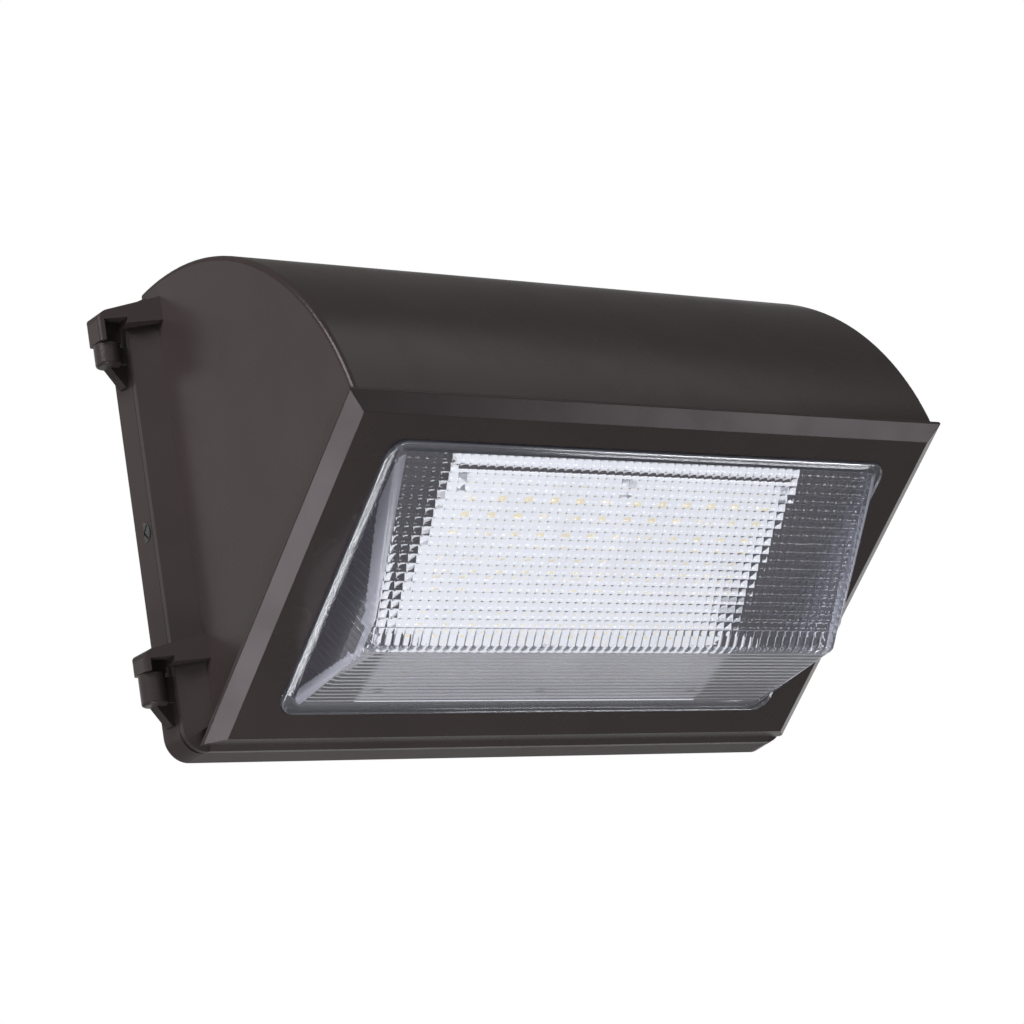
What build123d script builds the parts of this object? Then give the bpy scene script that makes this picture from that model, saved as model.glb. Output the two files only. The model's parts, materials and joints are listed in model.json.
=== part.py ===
from build123d import *
import os
from math import atan, cos, degrees, radians, sin

# A rectangular wall pack light. It hangs on a wall as a shallow back box. A deep cast
# hood, which carries a sloping lens frame, a prismatic lens, the lamp board and the
# driver, swings on two hinges on the left and closes with two captive screws on the right.
#
# X runs to the right for someone facing the wall, Y runs into the wall and Z runs up.
# While it is modelled, heights count from the box's bottom edge. On export the origin
# moves to the middle of the wall fixing holes, on the wall plane.

# ---------------------------------------------------------------- driving sizes (mm)
frame_width = 362.5
overall_height = 235.0
front_depth = 182.0
front_height = 125.5
slope_from_vertical = 52.7
frame_length = 197.0

# hood casting
frame_overhang = 3.25
hood_side_draft = 3.5
hood_arc_radius = 154.0
hood_arc_depth = 33.0
hood_wall = 3.0
hood_edge_radius = 2.5
flange_width = 12.5
flange_thickness = 3.0
flange_skirt_depth = 9.0

# back box casting
box_depth = 12.7
box_side_draft = 1.5
box_top_drop = 2.0
box_floor = 3.5
box_rim = 8.0
bottom_corner_radius = 12.0
top_corner_radius = 24.0
seam_gap = 0.3
seam_rise = 1.5
gasket_inset = 2.6
gasket_width = 3.0
gasket_depth = 2.4
mount_height = 117.0

# wall side interfaces
fixing_spacing_x = 280.0
fixing_spacing_z = 120.0
fixing_hole_radius = 3.25
slot_spacing = 88.9
slot_length = 18.0
slot_radius = 2.75
entry_hole_radius = 11.1
cable_radius = 5.0
fixing_pad_radius = 8.0
fixing_pad_top = 5.0
ground_place = (158.0, 117.0)
ground_boss_radius = 6.0
ground_boss_top = 7.0
ground_screw_radius = 2.0
ground_hole_end = 2.0
vent_height = 112.0
vent_depth = 6.4
vent_head_radius = 5.2
vent_head_length = 2.0
vent_stem_radius = 2.7
vent_slot_width = 1.1
vent_slot_depth = 1.2
grommet_lip = 2.5
grommet_lip_thickness = 2.0
ground_washer_radius = 5.5
ground_washer_thickness = 1.2
ground_head_radius = 4.0
ground_head_height = 3.0
ground_slot_width = 1.0
ground_slot_depth = 1.0

# lens frame
frame_base = 1.5
bevel_inset = 8.6
bevel_rise = 5.3
face_thickness = 2.7
frame_edge_radius = 0.8
frame_edge = 10.0
ledge_height = 3.7
seal_inset = 5.5
seal_width = 2.5
land_screw_inset = 15.25
land_screw_radius = 1.8
frame_screw_places = (30.0, 100.0, 170.0)
sink_screw_places = (62.0, 138.0)
frame_boss_radius = 4.4
boss_hole_end = 2.2
screw_tip_room = 0.3
pan_head_radius = 3.6
pan_head_height = 2.4
small_head_radius = 2.7
small_head_height = 1.8
head_recess_width = 0.7

# lens
lens_half_width = 152.5
lens_top = 22.0
lens_bottom = 179.0
lens_corner_radius = 10.0
lens_rim_height = 7.3
lens_flange = 5.5
lens_flange_thickness = 3.0
lens_wall = 3.0
lens_clearance = 0.4
bulge_edge_along = 113.6
bulge_edge_height = 41.0
bulge_rim_inset = 3.0
bulge_end_inset = 6.0
bulge_half_width_edge = 144.5
bulge_edge_radius = 5.0
rim_edge_radius = 1.0
lens_gasket_thickness = 1.0
clip_thickness = 1.2
clip_half_width = 9.0
clip_overlap = 4.0
clip_boss_radius = 3.0
clip_screw_radius = 1.4
clip_columns = (-110.0, 0.0, 110.0)

# lamp board and what carries it
sink_top = -8.0
sink_thickness = 3.5
sink_half_width = 152.0
sink_start = 26.0
sink_end = 176.0
pedestal_half_width = 107.0
pedestal_start = 34.0
pedestal_end = 170.0
pedestal_rise = 4.0
sink_boss_radius = 4.4
connector_post_radius = 5.0
reflector_thickness = 0.6
reflector_slot_width = 1.6
reflector_slot_end = 2.0
board_thickness = 1.6
board_half_width = 106.0
board_start = 42.5
board_end = 162.0
chip_length = 3.5
chip_width = 2.8
chip_height = 0.8
chip_pitch = 16.3
chips_in_row = 12
chip_rows = (54.0, 65.5, 76.0, 94.0, 104.0, 127.0, 139.0)
board_screw_radius = 1.4
board_screw_reach = 4.5
board_screw_columns = (-98.0, 0.0, 98.0)
board_screw_rows = (47.0, 157.0)
board_connector_size = (13.0, 9.0, 4.0)
sink_tab_half_length = 9.0
sink_tab_end = 4.5
lead_hole_place = (98.0, 115.0)
lead_hole_radius = 4.0
lead_radius = 0.9
lead_spacing = 3.0
lead_entry = 2.0
lead_bend_radius = 12.0

# driver
driver_length = 128.0
driver_width = 56.0
driver_height = 30.0
driver_start = 44.0
driver_standoff = 6.0
driver_hole_end = 1.5
driver_foot = 10.0
driver_foot_width = 34.0
driver_foot_thickness = 1.4
driver_wall = 1.4
end_cap_length = 6.0
supply_connector_place = (-116.0, 128.0)
supply_connector_size = (18.0, 20.0, 10.0)
supply_connector_standoff = 9.0
plug_pocket_size = (3.6, 12.0, 6.0)
pin_spacing = 4.8
fin_height = 10.0
fin_thickness = 2.0
fin_pitch = 12.0

# hinges on the left and captive screws on the right
hinge_stand_off = 10.0
hinge_depth = 10.5
hinge_joint_heights = (40.7, 206.1)
hinge_gap = 0.4
knuckle_radius = 6.5
knuckle_edge_radius = 1.4
box_knuckle_heights = (15.0, 11.0)
gusset_drop = 9.5
gusset_thickness = 6.0
hook_heights = (10.0, 14.5)
hook_corner_radius = 5.0
hook_edge_radius = 2.5
hook_back_radius = 5.0
hook_tab_width = 2.6
hook_recess_width = 10.4
hook_recess_height = 4.0
hook_wall = 1.45
pin_radius = 2.0
pin_running_clearance = 0.05
pin_reach = 8.0
pin_end_room = 0.5
arm_front_depth = 31.0
arm_end_drop = 7.0
arm_top_rise = 5.5
screw_stand_off = 6.0
screw_heights = (44.0, 198.0)
screw_radius = 2.0
screw_sliding_clearance = 0.1
screw_swing_clearance = 0.6
screw_engagement = 6.2
screw_travel = 6.8
screw_head_radius = 4.4
screw_head_height = 3.2
lug_half_height = 8.0
lug_end_width = 7.0
retainer_thickness = 1.0
retainer_radius = 3.8

# ------------------------------------------------------------------ worked-out places
hood_start = box_depth + seam_gap
hood_width_front = frame_width - 2 * frame_overhang
hood_width_rear = hood_width_front - 2 * hood_side_draft
box_width_seam = hood_width_rear + 2 * flange_width
box_width_wall = box_width_seam + 2 * box_side_draft
box_top = overall_height - box_top_drop
hinge_x = -box_width_seam / 2 - hinge_stand_off
screw_x = box_width_seam / 2 + screw_stand_off
lug_end_x = screw_x + lug_end_width
land_screw_x = frame_width / 2 - land_screw_inset
sink_tab_reach = land_screw_x + sink_tab_end
arc_height = overall_height - hood_arc_radius
slope = radians(slope_from_vertical)
top_of_slope = (front_depth, front_height)
# the slope plane: local x to the right, local y up the slope, local z out of the lens
slope_plane = Plane(
    origin=(0, -front_depth, front_height),
    x_dir=(1, 0, 0),
    z_dir=(0, -cos(slope), -sin(slope)),
)
side_plane = Plane(origin=(0, 0, 0), x_dir=(0, -1, 0), z_dir=(-1, 0, 0))
wall_plane = Plane(origin=(0, 0, 0), x_dir=(1, 0, 0), z_dir=(0, -1, 0))
frame_inner_half = frame_width / 2 - frame_edge
opening_half = frame_inner_half - 9.5
opening_start = frame_edge - 0.4
opening_end = frame_length - frame_edge / 2 + 0.4
flange_half = lens_half_width + lens_flange
flange_start = lens_top - lens_flange
flange_end = lens_bottom + lens_flange
face_under = bevel_rise - face_thickness
flange_top = face_under - lens_gasket_thickness
flange_bottom = flange_top - lens_flange_thickness
pedestal_top = sink_top + pedestal_rise
sink_bottom = sink_top - sink_thickness
board_bottom = pedestal_top + reflector_thickness
board_top = board_bottom + board_thickness
land_bottom = -frame_base - hood_wall
driver_base = sink_bottom - driver_standoff
clip_rows = (frame_edge + 3.2, frame_length - frame_edge / 2 - 3.6)
retainer_start = hood_start + 0.2
lug_pocket_end = retainer_start + retainer_thickness + screw_travel + 0.2
lug_front = lug_pocket_end + hood_wall
supply_connector_base = sink_bottom - supply_connector_standoff
board_lead_exit = (driver_length / 2, driver_start + 52.0, driver_base - 20.0)
supply_lead_exit = (-driver_length / 2, driver_start + 22.0, driver_base - 8.0)
big = 500.0


def slope_point(along, out):
    """Depth and height of a point that lies along down the slope and out of its plane."""
    depth = front_depth - along * sin(slope) + out * cos(slope)
    height = front_height - along * cos(slope) - out * sin(slope)
    return depth, height


def on_slope(shape):
    return slope_plane.location * shape


def slope_block(half_width, start, end, low, high, radius=0.0):
    """A flat block on the slope, with rounded corners when a radius is given."""
    outline = Rectangle(2 * half_width, end - start)
    if radius:
        outline = fillet(outline.vertices(), radius)
    return Pos(0, -(start + end) / 2, low) * extrude(outline, high - low)


def slope_ring(half_width, start, end, width, low, high, radius):
    outer = slope_block(half_width, start, end, low, high, radius)
    inner = slope_block(
        half_width - width, start + width, end - width, low - 1, high + 1, radius - width
    )
    return outer - inner


def wall_block(x_low, x_high, depth_low, depth_high, z_low, z_high):
    """A block given by its limits in X, in depth from the wall and in height."""
    size = (x_high - x_low, depth_high - depth_low, z_high - z_low)
    middle = ((x_low + x_high) / 2, -(depth_low + depth_high) / 2, (z_low + z_high) / 2)
    return Pos(*middle) * Box(*size)


def wall_rod(x, z, radius, depth_low, depth_high):
    """A rod square to the wall."""
    place = Pos(x, -(depth_low + depth_high) / 2, z)
    return place * Rot(90, 0, 0) * Cylinder(radius, depth_high - depth_low)


def upright_rod(x, depth, radius, z_low, z_high):
    return Pos(x, -depth, (z_low + z_high) / 2) * Cylinder(radius, z_high - z_low)


def slope_rod(x, along, radius, low, high):
    return Pos(x, -along, (low + high) / 2) * Cylinder(radius, high - low)


def box_outline(inset, width=box_width_seam, bottom=seam_rise, top=box_top):
    """The back box's outline: small corners at the bottom and large ones at the top."""
    outline = Rectangle(width - 2 * inset, top - bottom - 2 * inset)
    corners = outline.vertices().group_by(Axis.Y)
    outline = fillet(corners[0], bottom_corner_radius - inset)
    corners = outline.vertices().group_by(Axis.Y)
    outline = fillet(corners[-1], top_corner_radius - inset)
    return wall_plane.location * Pos(0, (top + bottom) / 2) * outline


def outline_slab(inset, depth_low, depth_high):
    slab = extrude(box_outline(inset), depth_high - depth_low)
    return Pos(0, -depth_low, 0) * slab


# ------------------------------------------------------------------------ wall side
def box_hinge_knuckle(joint_height, knuckle_height):
    """A round knuckle on a web, with a gusset that slopes back to the box's side."""
    low = joint_height - hinge_gap / 2 - knuckle_height
    high = joint_height - hinge_gap / 2
    side = -box_width_seam / 2
    knuckle = upright_rod(hinge_x, hinge_depth, knuckle_radius, low, high)
    knuckle = fillet(knuckle.edges().sort_by(Axis.Z)[0], knuckle_edge_radius)
    web_back = hinge_depth - knuckle_radius
    web = wall_block(
        hinge_x,
        side + box_rim / 2,
        web_back,
        box_depth - seam_gap,
        low + knuckle_edge_radius,
        high - knuckle_edge_radius,
    )
    outline = Polygon(
        (hinge_x, low + knuckle_edge_radius),
        (side + box_rim / 4, low + knuckle_edge_radius),
        (side + box_rim / 4, low - gusset_drop),
        (side - box_rim / 4, low - gusset_drop),
        align=None,
    )
    gusset = extrude(wall_plane.location * outline, gusset_thickness, dir=(0, -1, 0))
    gusset = Pos(0, -web_back, 0) * gusset
    return knuckle + web + gusset


def box_screw_lug(height):
    lug = wall_block(
        box_width_seam / 2 - 2,
        lug_end_x,
        3.0,
        box_depth,
        height - lug_half_height,
        height + lug_half_height,
    )
    corners = lug.edges().filter_by(Axis.Y).group_by(Axis.X)[-1]
    return fillet(corners, lug_half_height / 2)


def back_box():
    """The cast tray that is fixed to the wall."""
    draft = degrees(atan(box_side_draft / box_depth))
    low = seam_rise - box_side_draft
    outline = box_outline(0, box_width_wall, low, box_top + box_side_draft)
    tray = extrude(outline, box_depth, taper=draft)
    hollow = outline_slab(box_rim, box_floor, box_depth + 1)
    tray = tray - hollow
    for joint_height, knuckle_height in zip(hinge_joint_heights, box_knuckle_heights):
        tray += box_hinge_knuckle(joint_height, knuckle_height)
        low = joint_height - hinge_gap / 2 - pin_reach
        tray -= upright_rod(hinge_x, hinge_depth, pin_radius, low, joint_height)
    hole_radius = screw_radius + screw_swing_clearance
    for height in screw_heights:
        tray += box_screw_lug(height)
        tray -= wall_rod(screw_x, height, hole_radius, 4.5, box_depth + 1)
    # raised pads around the four wall fixings, and the fixing holes themselves
    for x, z in fixing_places():
        tray += wall_rod(x, z, fixing_pad_radius, box_floor - 1, fixing_pad_top)
        tray -= wall_rod(x, z, fixing_hole_radius, -1, fixing_pad_top + 1)
    for side in (-1, 1):
        slot = Pos(side * slot_spacing / 2, mount_height) * SlotOverall(slot_length, 2 * slot_radius)
        tray -= extrude(wall_plane.location * slot, 2 * box_depth, both=True)
    tray -= wall_rod(0, mount_height, entry_hole_radius, -1, box_floor + 1)
    tray += wall_rod(*ground_place, ground_boss_radius, box_floor - 1, ground_boss_top)
    tray -= wall_rod(*ground_place, ground_screw_radius, ground_hole_end, ground_boss_top + 1)
    # groove for the cord seal
    groove = outline_slab(gasket_inset, box_depth - gasket_depth, box_depth + 1)
    groove -= outline_slab(gasket_inset + gasket_width, 0, box_depth + 2)
    tray -= groove
    tray -= vent_plug_solid()
    return tray


def fixing_places():
    for side_x in (-1, 1):
        for side_z in (-1, 1):
            yield side_x * fixing_spacing_x / 2, mount_height + side_z * fixing_spacing_z / 2


def box_gasket():
    """The cord seal in the box's rim. It just meets the hood's flange."""
    low = box_depth - gasket_depth
    ring = outline_slab(gasket_inset, low, hood_start)
    ring -= outline_slab(gasket_inset + gasket_width, low - 1, hood_start + 1)
    return ring


def vent_plug_solid():
    face = -box_width_wall / 2 + box_side_draft * vent_depth / box_depth
    head = Pos(face + vent_head_length / 2, -vent_depth, vent_height) * Rot(0, 90, 0)
    plug = head * Cylinder(vent_head_radius, vent_head_length)
    stem_end = -box_width_seam / 2 + box_rim
    stem_length = stem_end - face
    stem = Pos(face + stem_length / 2, -vent_depth, vent_height) * Rot(0, 90, 0)
    return plug + stem * Cylinder(vent_stem_radius, stem_length)


def vent_plug():
    """A screw-in plug in the box's left wall with a cross slot in its face."""
    plug = vent_plug_solid()
    face = plug.bounding_box().min.X
    for turn in (45, -45):
        cut = Box(2 * vent_slot_depth, vent_slot_width, 1.8 * vent_head_radius)
        plug -= Pos(face, -vent_depth, vent_height) * Rot(turn, 0, 0) * cut
    return plug


def entry_grommet():
    """A rubber bush in the cable hole of the box floor."""
    lip_end = box_floor + grommet_lip_thickness
    lip_radius = entry_hole_radius + grommet_lip
    middle = wall_rod(0, mount_height, entry_hole_radius, 0.5, box_floor)
    inner_lip = wall_rod(0, mount_height, lip_radius, box_floor, lip_end)
    bore = wall_rod(0, mount_height, cable_radius, -1, lip_end + 1)
    return middle + inner_lip - bore


def ground_screw():
    """A slotted hexagon screw for the earth wire, on its cupped washer."""
    x, z = ground_place
    washer_top = ground_boss_top + ground_washer_thickness
    head_top = washer_top + ground_head_height
    washer = wall_rod(x, z, ground_washer_radius, ground_boss_top, washer_top)
    hexagon = RegularPolygon(ground_head_radius, 6)
    head = extrude(wall_plane.location * Pos(x, z) * hexagon, ground_head_height)
    head = Pos(0, -washer_top, 0) * head
    slot = wall_block(
        x - ground_washer_radius,
        x + ground_washer_radius,
        head_top - ground_slot_depth,
        head_top + 1,
        z - ground_slot_width / 2,
        z + ground_slot_width / 2,
    )
    shank = wall_rod(x, z, ground_screw_radius, ground_hole_end, ground_boss_top)
    return washer + head - slot + shank


def hinge_pins():
    """Two pins, pressed into the box's knuckles, on which the hood's hooks turn."""
    pins = []
    for joint_height in hinge_joint_heights:
        low = joint_height - hinge_gap / 2 - pin_reach
        high = joint_height + hinge_gap / 2 + pin_reach
        pin = upright_rod(hinge_x, hinge_depth, pin_radius, low, high)
        pins.append(chamfer(pin.edges().sort_by(Axis.Z)[-1], 0.6))
    return pins


# ----------------------------------------------------------------------- hood casting
def hood_body(inset):
    """The D-shaped body of the hood. With an inset it is the hollow inside."""
    arch = Pos(hood_arc_depth, arc_height) * Circle(hood_arc_radius - inset)
    out = -frame_base - inset
    behind_slope = Polygon(
        slope_point(-big, out),
        slope_point(big, out),
        (-big, slope_point(big, out)[1]),
        (-big, slope_point(-big, out)[1]),
        align=None,
    )
    low = seam_rise + inset
    start = hood_start + (flange_thickness if inset else 0)
    in_front = Pos(start, low) * Rectangle(big, big, align=(Align.MIN, Align.MIN))
    section = arch & behind_slope & in_front
    body = extrude(side_plane.location * section, big / 2, both=True)
    front = hood_width_front / 2 - inset
    rear = hood_width_rear / 2 - inset
    plan = Polygon(
        (-rear, 0), (rear, 0), (front, -front_depth), (-front, -front_depth), align=None
    )
    body &= extrude(plan, big, both=True)
    if not inset:
        rims = body.edges().filter_by(GeomType.LINE, reverse=True)
        body = fillet(rims, hood_edge_radius)
    return body


def hood_hook(joint_height, hook_height):
    """The hood's hinge arm, whose hook drops over the pin above the box's knuckle."""
    low = joint_height + hinge_gap / 2
    high = low + hook_height
    left = hinge_x - knuckle_radius
    right = hinge_x + knuckle_radius
    back = hinge_depth - knuckle_radius
    front = hinge_depth + knuckle_radius
    panel = -hood_width_rear / 2 + hood_wall / 2
    # seen from the front: the hook hangs from an arm whose top rises towards the panel
    outline = Polygon(
        (left, low),
        (left, high),
        (panel, high + arm_top_rise),
        (panel, high - arm_end_drop),
        (right, high - arm_end_drop),
        (right, low),
        align=None,
    )
    top_corner = outline.vertices().group_by(Axis.X)[0].sort_by(Axis.Y)[-1]
    outline = fillet(top_corner, hook_corner_radius)
    # seen from above: the arm's front slants out to meet the panel
    plan = Polygon(
        (left, -back),
        (left, -front),
        (panel, -arm_front_depth),
        (panel, -hood_start),
        (right, -hood_start),
        (right, -back),
        align=None,
    )
    plan = fillet(plan.vertices().group_by(Axis.X)[0], hook_edge_radius)
    inner_corner = plan.vertices().sort_by(Axis.Y)[-2:].sort_by(Axis.X)[-1]
    plan = fillet(inner_corner, hook_back_radius)
    hook = extrude(wall_plane.location * outline, big / 2, both=True) & extrude(plan, big, both=True)
    # the front of the hook is cut back to a tab on its left
    hook -= wall_block(
        left + hook_tab_width,
        left + hook_tab_width + hook_recess_width,
        hinge_depth + pin_radius + hook_wall,
        big,
        low - 1,
        high - hook_recess_height,
    )
    bore = pin_radius + pin_running_clearance
    socket = upright_rod(hinge_x, hinge_depth, bore, low - 1, low + pin_reach + pin_end_room)
    return hook, socket


def hood_screw_lug(height):
    """A lug on the hood's right side, hollow behind for the captive screw's washer."""
    lug = wall_block(
        hood_width_rear / 2 - hood_wall / 2,
        lug_end_x,
        hood_start,
        lug_front,
        height - lug_half_height,
        height + lug_half_height,
    )
    corners = lug.edges().filter_by(Axis.Y).group_by(Axis.X)[-1]
    lug = fillet(corners, lug_half_height / 2)
    pocket = wall_rod(screw_x, height, retainer_radius + 0.5, hood_start - 1, lug_pocket_end)
    hole = wall_rod(
        screw_x, height, screw_radius + screw_sliding_clearance, hood_start, lug_front + 1
    )
    return lug, pocket + hole


def hood():
    """The cast hood: D-shaped, open at the back and at its sloping front."""
    shell = hood_body(0)
    ring = outline_slab(0, hood_start, hood_start + flange_thickness)
    window_half = hood_width_rear / 2 - hood_wall
    window = wall_block(
        -window_half,
        window_half,
        hood_start - 1,
        hood_start + flange_thickness + 1,
        seam_rise + flange_width,
        box_top - flange_width,
    )
    # a skirt slopes from the flange's edge in to the side panels
    slope = degrees(atan(flange_width / flange_skirt_depth))
    skirt = extrude(box_outline(0), flange_skirt_depth, taper=slope)
    skirt = Pos(0, -hood_start - flange_thickness, 0) * skirt
    shell = shell + ring + skirt - window - hood_body(hood_wall)
    opening = slope_block(
        opening_half, opening_start, opening_end, land_bottom - 2, 2, 8.0
    )
    shell -= on_slope(opening)
    for joint_height, hook_height in zip(hinge_joint_heights, hook_heights):
        hook, socket = hood_hook(joint_height, hook_height)
        shell = shell + hook - socket
    for height in screw_heights:
        lug, holes = hood_screw_lug(height)
        shell = shell + lug - holes
    for x, along in land_screw_places():
        shell -= on_slope(slope_rod(x, along, land_screw_radius + 0.4, land_bottom - 1, 0))
    return shell


def land_screw_places():
    for side in (-1, 1):
        for along in frame_screw_places + sink_screw_places:
            yield side * land_screw_x, along


def cover_screw(height):
    """A captive screw that closes the hood, with a slotted hexagon head."""
    head = wall_rod(screw_x, height, screw_head_radius, lug_front, lug_front + screw_head_height)
    head = chamfer(head.edges().sort_by(Axis.Y)[0], 0.5)
    cross = Box(1.0, 2.4, screw_head_radius * 1.3)
    for turn in (45, -45):
        place = Pos(screw_x, -lug_front - screw_head_height, height) * Rot(0, turn, 0)
        head -= place * cross
    tip = box_depth - screw_engagement
    shank = wall_rod(screw_x, height, screw_radius, tip, lug_front)
    return head + chamfer(shank.edges().sort_by(Axis.Y)[-1], 0.5)


def screw_retainer(height):
    washer = wall_rod(
        screw_x, height, retainer_radius, retainer_start, retainer_start + retainer_thickness
    )
    return washer - wall_rod(screw_x, height, screw_radius, 0, lug_front)


# ------------------------------------------------------------------ lens and its frame
def lens_frame():
    """The bevelled front frame. Its bottom edge is cut level and has no bevel."""
    half = frame_width / 2
    length = frame_length + frame_edge
    across = Polygon(
        (-half, -frame_base),
        (half, -frame_base),
        (half, 0),
        (half - bevel_inset, bevel_rise),
        (-half + bevel_inset, bevel_rise),
        (-half, 0),
        align=None,
    )
    along = Polygon(
        (0, -frame_base),
        (0, 0),
        (-bevel_inset, bevel_rise),
        (-length, bevel_rise),
        (-length, -frame_base),
        align=None,
    )
    plate = extrude(Plane.XZ * across, length, dir=(0, -1, 0))
    plate &= extrude(Plane.YZ * along, big / 2, both=True)
    front_edges = plate.edges().filter_by_position(Axis.Z, 0, bevel_rise)
    front_edges = front_edges.filter_by_position(Axis.Y, 1 - length, 0)
    plate = fillet(front_edges, frame_edge_radius)
    pocket_end = frame_length - frame_edge / 2
    plate -= slope_block(
        frame_inner_half, frame_edge, pocket_end, -frame_base - 1, face_under, 4.0
    )
    plate -= slope_block(
        lens_half_width + lens_clearance,
        lens_top - lens_clearance,
        lens_bottom + lens_clearance,
        -big / 10,
        big / 10,
        lens_corner_radius + lens_clearance,
    )
    for x, place in land_screw_places():
        plate += slope_rod(x, place, frame_boss_radius, -frame_base, face_under + 1)
        plate -= slope_rod(x, place, land_screw_radius, -frame_base - 1, boss_hole_end)
    for x, place in clip_places():
        plate += slope_rod(x, place, clip_boss_radius, flange_bottom, face_under + 1)
        plate -= slope_rod(x, place, clip_screw_radius, flange_bottom - 1, boss_hole_end)
    plate = on_slope(plate - frame_seal())
    return plate - wall_block(-big, big, -big, big, ledge_height - big, ledge_height)


def clip_places():
    for x in clip_columns:
        for place in clip_rows:
            yield x, place


def frame_seal():
    return slope_ring(
        frame_width / 2 - seal_inset,
        seal_inset,
        frame_length + seal_inset / 2,
        seal_width,
        -frame_base,
        0,
        4.0,
    )


def frame_gasket():
    """A seal in the frame's groove, pressed against the hood's land."""
    return on_slope(frame_seal())


def bulge_sides(inset):
    """The wedge's outlines, seen from the side and along the slope, as two sketches."""
    run_front = bulge_edge_along - lens_top - bulge_rim_inset
    run_back = lens_bottom - bulge_end_inset - bulge_edge_along
    rise = bulge_edge_height - lens_rim_height
    deep = 3 * rise
    wedge = Polygon(
        (-(bulge_edge_along - run_front * deep / rise), bulge_edge_height - deep),
        (-bulge_edge_along, bulge_edge_height),
        (-(bulge_edge_along + run_back * deep / rise), bulge_edge_height - deep),
        align=None,
    )
    if inset:
        wedge = offset(wedge, -inset, kind=Kind.INTERSECTION)
    half_rim = lens_half_width - bulge_rim_inset - inset
    half_edge = bulge_half_width_edge - inset
    low = lens_rim_height - deep
    across = Polygon(
        (-half_rim, low),
        (half_rim, low),
        (half_rim, lens_rim_height),
        (half_edge, bulge_edge_height),
        (-half_edge, bulge_edge_height),
        (-half_rim, lens_rim_height),
        align=None,
    )
    return wedge, across


def bulge_solid(inset):
    wedge, across = bulge_sides(inset)
    solid = extrude(Plane.YZ * wedge, big / 2, both=True)
    solid &= extrude(Plane.XZ * across, big, dir=(0, -1, 0))
    start = lens_top + bulge_rim_inset + inset
    end = lens_bottom - bulge_end_inset - inset
    low = flange_bottom - 1 if inset else 0
    return solid & slope_block(lens_half_width, start, end, low, big / 5)


def lens():
    """The clear cover: a clamped flange, a raised rim and a hollow wedge."""
    flange = slope_block(
        flange_half, flange_start, flange_end, flange_bottom, flange_top, 12.0
    )
    rim = slope_block(
        lens_half_width,
        lens_top,
        lens_bottom,
        flange_bottom,
        lens_rim_height,
        lens_corner_radius,
    )
    rim = fillet(rim.edges().group_by(Axis.Z)[-1], rim_edge_radius)
    bulge = bulge_solid(0)
    ridge = bulge.edges().filter_by(Axis.X).sort_by(Axis.Z)[-1]
    bulge = fillet(ridge, bulge_edge_radius)
    return on_slope(flange + rim + bulge - bulge_solid(lens_wall))


def lens_gasket():
    return on_slope(
        slope_ring(
            flange_half - 0.5,
            flange_start + 0.5,
            flange_end - 0.5,
            lens_flange - 1.5,
            flange_top,
            face_under,
            11.0,
        )
    )


def clip_span(place):
    """Where a clip starts and ends down the slope: from its boss over the flange."""
    if place < flange_start:
        return place - clip_boss_radius, flange_start + clip_overlap
    return flange_end - clip_overlap, place + clip_boss_radius


def lens_clips():
    """Six spring-steel tabs that hold the lens flange up against its gasket."""
    clips = []
    for x, place in clip_places():
        start, end = clip_span(place)
        tab = slope_block(
            clip_half_width, start, end, flange_bottom - clip_thickness, flange_bottom, 1.5
        )
        hole = slope_rod(0, place, clip_screw_radius, -big, big)
        clips.append(on_slope(Pos(x, 0, 0) * (tab - hole)))
    return clips


def slope_screw(x, place, radius, seat, tip, head_radius, head_height):
    """A pan-head screw driven out along the slope's normal, with a cross recess."""
    head = slope_rod(x, place, head_radius, seat - head_height, seat)
    head = fillet(head.edges().sort_by(Axis.Z)[0], head_height * 0.35)
    cross = Box(1.1 * head_radius, head_recess_width, head_height)
    for turn in (0, 90):
        head -= Pos(x, -place, seat - head_height) * Rot(0, 0, turn) * cross
    return on_slope(head + slope_rod(x, place, radius, seat, tip))


def land_screw(x, place, seat, tip):
    return slope_screw(x, place, land_screw_radius, seat, tip, pan_head_radius, pan_head_height)


def lens_clip_screws():
    seat = flange_bottom - clip_thickness
    tip = boss_hole_end - screw_tip_room
    return [
        slope_screw(x, place, clip_screw_radius, seat, tip, small_head_radius, small_head_height)
        for x, place in clip_places()
    ]


def frame_screws():
    tip = boss_hole_end - screw_tip_room
    return [
        land_screw(side * land_screw_x, place, land_bottom, tip)
        for side in (-1, 1)
        for place in frame_screw_places
    ]


# --------------------------------------------------------------- lamp board and driver
def driver_screw_places():
    middle = driver_start + driver_width / 2
    for side in (-1, 1):
        yield side * (driver_length / 2 + driver_foot / 2), middle


def board_screw_places():
    for x in board_screw_columns:
        for place in board_screw_rows:
            yield x, place


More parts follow.
